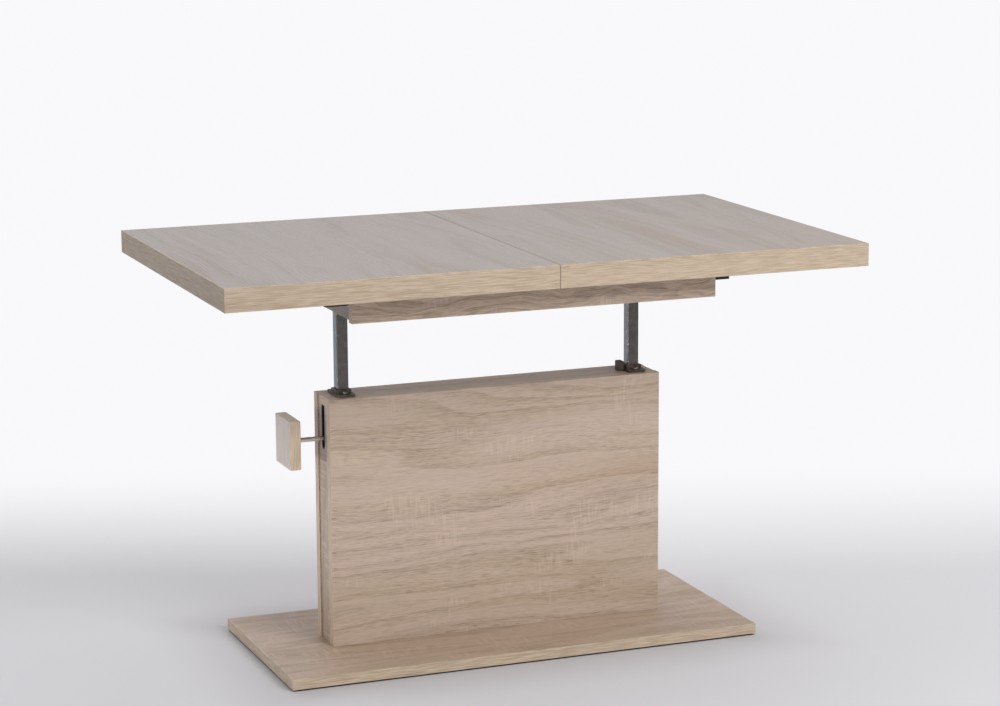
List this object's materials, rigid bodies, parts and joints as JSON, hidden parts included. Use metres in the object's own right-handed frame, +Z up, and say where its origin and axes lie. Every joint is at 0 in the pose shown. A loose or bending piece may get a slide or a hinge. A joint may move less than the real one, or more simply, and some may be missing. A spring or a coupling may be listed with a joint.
{
  "type": "convertible coffee dining table",
  "caption": "Pedestal table that lifts from coffee to dining height on a gas spring and pulls apart for a folded leaf.",
  "frame": {"origin": "on the floor under the middle of the table", "axes": "+X along the length of the top, away from the handle; +Y across to the back; +Z up"},
  "size_m": [1.1, 0.63, 0.69],
  "materials": {
    "oak_decor": "satin oak decor",
    "edge_band": "satin oak edge band",
    "timber": "raw beech",
    "black_plastic": "moulded",
    "rubber": "matt",
    "bright_steel": "polished",
    "black_steel": "satin black",
    "aluminium": "mill",
    "zinc_steel": "zinc plated"
  },
  "bodies": {
    "pedestal": {"base_board": "oak_decor", "base_edge_bands": "edge_band", "base_bolts": "zinc_steel", "floor_glides": "black_plastic", "pedestal_front_panel": "oak_decor", "pedestal_back_panel": "oak_decor", "pedestal_left_end": "oak_decor", "slot_liner": "black_plastic", "pedestal_right_end": "oak_decor", "pedestal_bottom_rails": "timber", "pedestal_top_rail": "oak_decor", "left_guide_bush": "black_plastic", "right_guide_bush": "black_plastic", "guide_bush_screws": "bright_steel", "lower_guides": "black_plastic", "rest_buffer": "rubber", "gas_spring_piston_rod": "bright_steel", "gas_spring_foot": "black_steel", "gas_spring_foot_pin": "zinc_steel", "release_head": "black_steel", "lever_pivot_pin": "zinc_steel", "lever_stop_buffer": "rubber", "cable_anchor": "black_steel", "release_cable": "black_plastic", "cable_clips": "black_plastic"},
    "lift": {"left_lift_tube": "bright_steel", "right_lift_tube": "bright_steel", "lift_crossbar": "black_steel", "crossbar_bolts": "zinc_steel", "gas_spring_cylinder": "black_steel", "gas_spring_top_bracket": "black_steel", "gas_spring_top_pin": "zinc_steel", "left_head_bar": "black_steel", "right_head_bar": "black_steel", "head_bar_screws": "zinc_steel", "apron_front": "oak_decor", "apron_back": "oak_decor", "apron_left_end": "oak_decor", "apron_right_end": "oak_decor", "front_slide_track": "aluminium", "back_slide_track": "aluminium", "leaf_support_bars": "black_steel", "leaf_lower_panel": "oak_decor", "leaf_upper_panel": "oak_decor", "leaf_hinges": "zinc_steel"},
    "top_left": {"top_left_board": "oak_decor", "top_left_edge_bands": "edge_band", "left_front_runner": "black_steel", "left_back_runner": "black_steel", "left_runner_screws": "zinc_steel"},
    "top_right": {"top_right_board": "oak_decor", "top_right_edge_bands": "edge_band", "right_front_runner": "black_steel", "right_back_runner": "black_steel", "right_runner_screws": "zinc_steel", "seam_dowels": "timber"},
    "release_handle": {"release_lever": "bright_steel", "handle_block": "oak_decor"},
    "release_pull": {"release_wire": "zinc_steel"}
  },
  "joints": [
    {"name": "top_lift", "type": "slide", "parent": "pedestal", "child": "lift", "axis": [0, 0, 1], "range_m": [-0.15, 0]},
    {"name": "left_half_slide", "type": "slide", "parent": "lift", "child": "top_left", "axis": [-1, 0, 0], "range_m": [0, 0.2]},
    {"name": "right_half_slide", "type": "slide", "parent": "lift", "child": "top_right", "axis": [1, 0, 0], "range_m": [0, 0.2]},
    {"name": "release_handle_lift", "type": "hinge", "parent": "pedestal", "child": "release_handle", "pos_m": [-0.2, 0.014, 0.37], "axis": [0, 1, 0], "range_deg": [0, 12]},
    {"name": "release_wire_pull", "type": "slide", "parent": "pedestal", "child": "release_pull", "axis": [0, 0, 1], "range_m": [0, 0.00671]}
  ],
  "couplings": [
    {"joint": "release_wire_pull", "follows": "release_handle_lift", "m_per_rad": 0.032}
  ]
}
